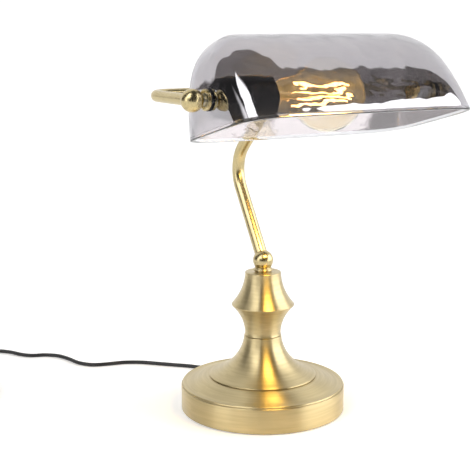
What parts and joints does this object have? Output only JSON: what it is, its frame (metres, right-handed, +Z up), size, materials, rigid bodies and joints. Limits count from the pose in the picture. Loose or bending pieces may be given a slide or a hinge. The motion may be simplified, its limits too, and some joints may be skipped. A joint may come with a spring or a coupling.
{
  "type": "banker desk lamp",
  "caption": "Banker desk lamp: round weighted base, turned column, cranked arm and U-shaped yoke, with a tilting smoked-glass trough shade over a filament bulb.",
  "frame": {"origin": "centre of the felt's underside, on the surface the lamp stands on", "axes": "+Z up along the column, +X along the shade, -Y towards the lamp's open front, over which the shade hangs"},
  "size_m": [0.423, 0.4772, 0.3597],
  "materials": {
    "brass": "brushed round each turned piece, satin lacquer",
    "bright_brass": "polished",
    "iron": "as cast, painted dark",
    "steel": "zinc plated",
    "nickel": "nickel plated",
    "felt": "black felt",
    "phenolic": "moulded black phenolic, slightly glossy",
    "ceramic": "unglazed steatite",
    "rubber": "matt",
    "lead_black": "black PVC",
    "smoked_glass": "smoked, semi-mirrored on the outside",
    "clear_glass": "clear",
    "filament": "lit amber LED filament"
  },
  "bodies": {
    "stand": {"base_cover": "brass", "pedestal_cone": "brass", "column_body": "brass", "neck_collar": "brass", "neck_ball": "brass", "arm_tube": "brass", "yoke_hub": "brass", "yoke_tube": "brass", "pivot_ball_left": "brass", "pivot_ball_right": "brass", "base_weight": "iron", "tie_rod": "steel", "tie_nut": "steel", "tie_washer": "steel", "hub_screw": "steel", "switch_screw_1": "steel", "switch_screw_2": "steel", "plug_pin_left": "nickel", "plug_pin_right": "nickel", "base_felt": "felt", "switch_terminals": "ceramic", "cord_gland": "rubber", "plug_strain_relief": "rubber", "cord_to_switch": "lead_black", "cord_to_coil": "lead_black", "cord_to_plug": "lead_black", "cord_coil": "lead_black", "switch_lower_case": "lead_black", "switch_upper_case": "lead_black", "plug_body": "lead_black"},
    "shade": {"shade_glass": "smoked_glass", "outer_gasket_left": "rubber", "outer_gasket_right": "rubber", "outer_washer_left": "brass", "outer_washer_right": "brass", "inner_gasket_left": "rubber", "inner_gasket_right": "rubber", "inner_washer_left": "brass", "inner_washer_right": "brass", "pivot_nipple": "steel", "nipple_nut": "steel", "pivot_stud": "steel", "stud_sleeve": "steel", "stud_cap_nut": "bright_brass", "holder_cap": "phenolic", "holder_shell": "phenolic", "holder_contact_shell": "nickel", "holder_core": "ceramic", "holder_centre_contact": "bright_brass", "bulb_glass": "clear_glass", "bulb_cap": "nickel", "bulb_insulator": "phenolic", "bulb_contact": "nickel", "bulb_stem": "clear_glass", "filament_1": "filament", "filament_2": "filament", "filament_3": "filament", "filament_4": "filament"},
    "rocker": {"switch_rocker": "lead_black", "switch_rocker_pin": "steel"}
  },
  "joints": [
    {"name": "shade_tilt", "type": "hinge", "parent": "stand", "child": "shade", "pos_m": [0.0049, -0.0966, 0.308], "axis": [1, 0, 0], "range_deg": [-40, 30]},
    {"name": "switch_rocker", "type": "hinge", "parent": "stand", "child": "rocker", "pos_m": [-0.214, 0.257, 0.0142], "axis": [1, 0, 0], "range_deg": [-12, 0]}
  ]
}
